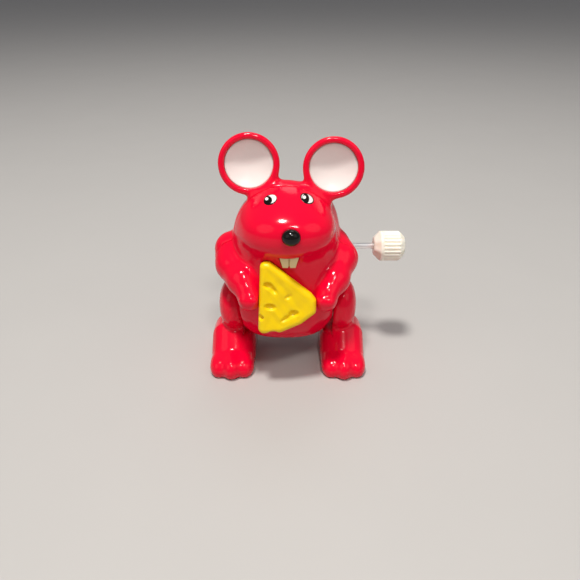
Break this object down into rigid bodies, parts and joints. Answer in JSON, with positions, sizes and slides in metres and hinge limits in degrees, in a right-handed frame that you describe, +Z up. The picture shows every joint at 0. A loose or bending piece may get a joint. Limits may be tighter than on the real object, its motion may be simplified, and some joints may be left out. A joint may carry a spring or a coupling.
{
  "type": "clockwork mouse",
  "caption": "Wind-up walking mouse in glossy red plastic, holding a wedge of cheese, with a winding knob on one side and feet worked by cranks.",
  "frame": {"origin": "on the floor under the centre of the whole object's box, knob included", "axes": "+Z up, the mouse faces -Y, and its own left side, with the winding knob, is +X"},
  "size_m": [0.0536, 0.033, 0.0639],
  "materials": {
    "red_shell": "high-gloss injection-moulded red plastic",
    "ear_white": "glossy white dish",
    "nose_black": "glossy black",
    "tooth_cream": "cream, half gloss",
    "cheese_yellow": "half-gloss yellow, softly uneven",
    "knob_milky": "milky translucent moulded nylon",
    "shaft_steel": "bright drawn steel",
    "screw_zinc": "zinc-plated steel",
    "arbor_brass": "turned brass",
    "gear_acetal": "natural acetal",
    "spring_steel": "blued spring steel"
  },
  "bodies": {
    "housing": {"front_shell": "red_shell", "rear_shell": "red_shell", "left_ear_liner": "ear_white", "right_ear_liner": "ear_white", "nose_ball": "nose_black", "teeth": "tooth_cream", "cheese_wedge": "cheese_yellow", "shell_screw_head": "screw_zinc", "shell_screw_left": "screw_zinc", "shell_screw_right": "screw_zinc", "gear_plate_left": "gear_acetal", "gear_plate_right": "gear_acetal", "plate_screw_1": "screw_zinc", "plate_screw_2": "screw_zinc", "plate_screw_3": "screw_zinc", "mainspring": "spring_steel"},
    "winder": {"winding_knob": "knob_milky", "wind_shaft": "shaft_steel", "great_wheel": "gear_acetal", "ratchet_wheel": "arbor_brass", "click": "arbor_brass"},
    "second_arbor": {"second_pinion": "arbor_brass", "second_wheel": "gear_acetal"},
    "crank_arbor": {"crank_shaft": "shaft_steel", "crank_pinion": "gear_acetal", "third_wheel": "gear_acetal", "left_crank": "gear_acetal", "right_crank": "gear_acetal"},
    "escape_arbor": {"escape_pinion": "arbor_brass", "escape_wheel": "gear_acetal"},
    "pallet": {"pallet": "screw_zinc"},
    "left_leg": {"left_leg": "red_shell"},
    "right_leg": {"right_leg": "red_shell"}
  },
  "joints": [
    {"name": "key_turn", "type": "hinge", "parent": "housing", "child": "winder", "pos_m": [-0.00507, 0.00545, 0.032], "axis": [1, 0, 0], "continuous": true, "deforming": ["mainspring"]},
    {"name": "second_turn", "type": "hinge", "parent": "housing", "child": "second_arbor", "pos_m": [-0.00507, 0.00059, 0.02327], "axis": [1, 0, 0], "continuous": true},
    {"name": "crank_turn", "type": "hinge", "parent": "housing", "child": "crank_arbor", "pos_m": [-0.00507, 0.00345, 0.015], "axis": [1, 0, 0], "continuous": true},
    {"name": "escape_turn", "type": "hinge", "parent": "housing", "child": "escape_arbor", "pos_m": [-0.00507, 0.00797, 0.01953], "axis": [1, 0, 0], "continuous": true},
    {"name": "pallet_rock", "type": "hinge", "parent": "housing", "child": "pallet", "pos_m": [-0.00507, 0.01075, 0.0232], "axis": [1, 0, 0], "range_deg": [-4, 4]},
    {"name": "left_leg_walk", "type": "hinge", "parent": "crank_arbor", "child": "left_leg", "pos_m": [0.00792, 0.00225, 0.015], "axis": [1, 0, 0], "continuous": true},
    {"name": "right_leg_walk", "type": "hinge", "parent": "crank_arbor", "child": "right_leg", "pos_m": [-0.01808, 0.00465, 0.015], "axis": [1, 0, 0], "continuous": true}
  ],
  "couplings": [
    {"joint": "second_turn", "follows": "key_turn", "ratio": -3},
    {"joint": "crank_turn", "follows": "key_turn", "ratio": 7.5},
    {"joint": "escape_turn", "follows": "key_turn", "ratio": -16.5},
    {"joint": "left_leg_walk", "follows": "key_turn", "ratio": -7.5},
    {"joint": "right_leg_walk", "follows": "key_turn", "ratio": -7.5}
  ]
}
